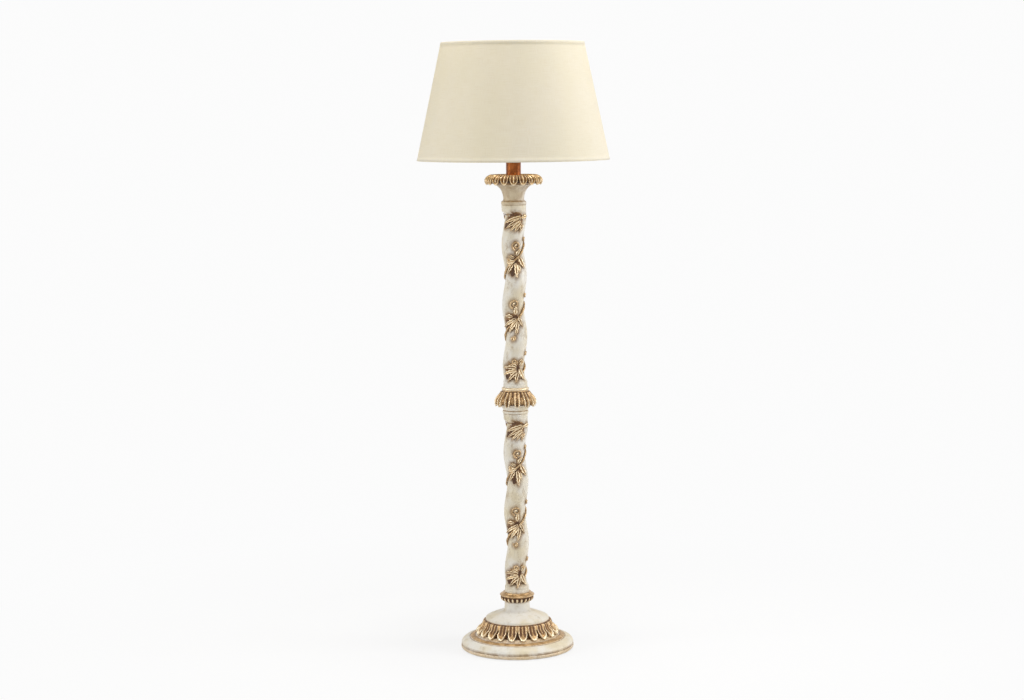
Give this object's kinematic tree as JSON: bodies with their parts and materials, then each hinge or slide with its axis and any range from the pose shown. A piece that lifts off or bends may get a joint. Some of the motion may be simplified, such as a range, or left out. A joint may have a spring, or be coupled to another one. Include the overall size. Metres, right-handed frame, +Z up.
{
  "type": "floor lamp",
  "caption": "Tall candlestick floor lamp: twisted, carved and gilded wooden stand on a round base, with a drip pan, candle tube and tapered fabric shade.",
  "frame": {"origin": "centre of the base, on the floor", "axes": "+Z up along the stand, -Y towards the front, +X to the right seen from the front"},
  "size_m": [0.508, 0.508, 1.616],
  "materials": {
    "felt": "matt felt",
    "ivory_wood": "antique ivory paint over wood, rubbed, brown in the recesses",
    "gilded_wood": "worn gold leaf over red-brown ground",
    "gland_plastic": "matt",
    "cast_iron": "rough, painted black",
    "tube_bronze": "copper-brown, satin",
    "zinc_steel": "zinc plated",
    "holder_plastic": "smooth cream",
    "switch_plastic": "smooth",
    "holder_ceramic": "unglazed white",
    "contact_brass": "plain",
    "bulb_aluminium": "plain",
    "bulb_glass": "frosted",
    "shade_silk": "slubbed silk on a stiff lining, ivory",
    "frame_enamel": "white enamel"
  },
  "bodies": {
    "stand": {"base_felt": "felt", "base_plinth": "ivory_wood", "cord_gland": "gland_plastic", "ballast": "cast_iron", "leaf_moulding": "gilded_wood", "base_dome": "ivory_wood", "neck_collar": "gilded_wood", "lower_shaft": "ivory_wood", "lower_vine": "gilded_wood", "knop_cup": "ivory_wood", "knop": "gilded_wood", "upper_shaft": "ivory_wood", "upper_vine": "gilded_wood", "capital": "ivory_wood", "drip_pan": "gilded_wood", "candle_tube": "tube_bronze", "tie_rod": "zinc_steel", "rod_nuts": "zinc_steel", "rod_plates": "zinc_steel", "holder_cap": "holder_plastic", "holder_skirt": "holder_plastic", "holder_insert": "holder_ceramic", "centre_contact": "contact_brass"},
    "shade": {"shade_cover": "shade_silk", "shade_top_wire": "frame_enamel", "shade_bottom_wire": "frame_enamel", "shade_fitter": "frame_enamel"},
    "clamp_ring": {"clamp_ring": "holder_plastic"},
    "bulb": {"bulb_cap": "bulb_aluminium", "bulb_glass": "bulb_glass"},
    "push_bar": {"push_bar": "switch_plastic"}
  },
  "joints": [
    {"name": "shade_turn", "type": "hinge", "parent": "stand", "child": "shade", "pos_m": [0, 0, 1.349], "axis": [0, 0, 1], "continuous": true},
    {"name": "clamp_ring_turn", "type": "hinge", "parent": "stand", "child": "clamp_ring", "pos_m": [0, 0, 1.355], "axis": [0, 0, 1], "range_deg": [0, 1440]},
    {"name": "bulb_turn", "type": "hinge", "parent": "stand", "child": "bulb", "pos_m": [0, 0, 1.371], "axis": [0, 0, 1], "range_deg": [0, 1260]},
    {"name": "push_bar_slide", "type": "slide", "parent": "stand", "child": "push_bar", "axis": [1, 0, 0], "range_m": [0, 0.007]}
  ]
}
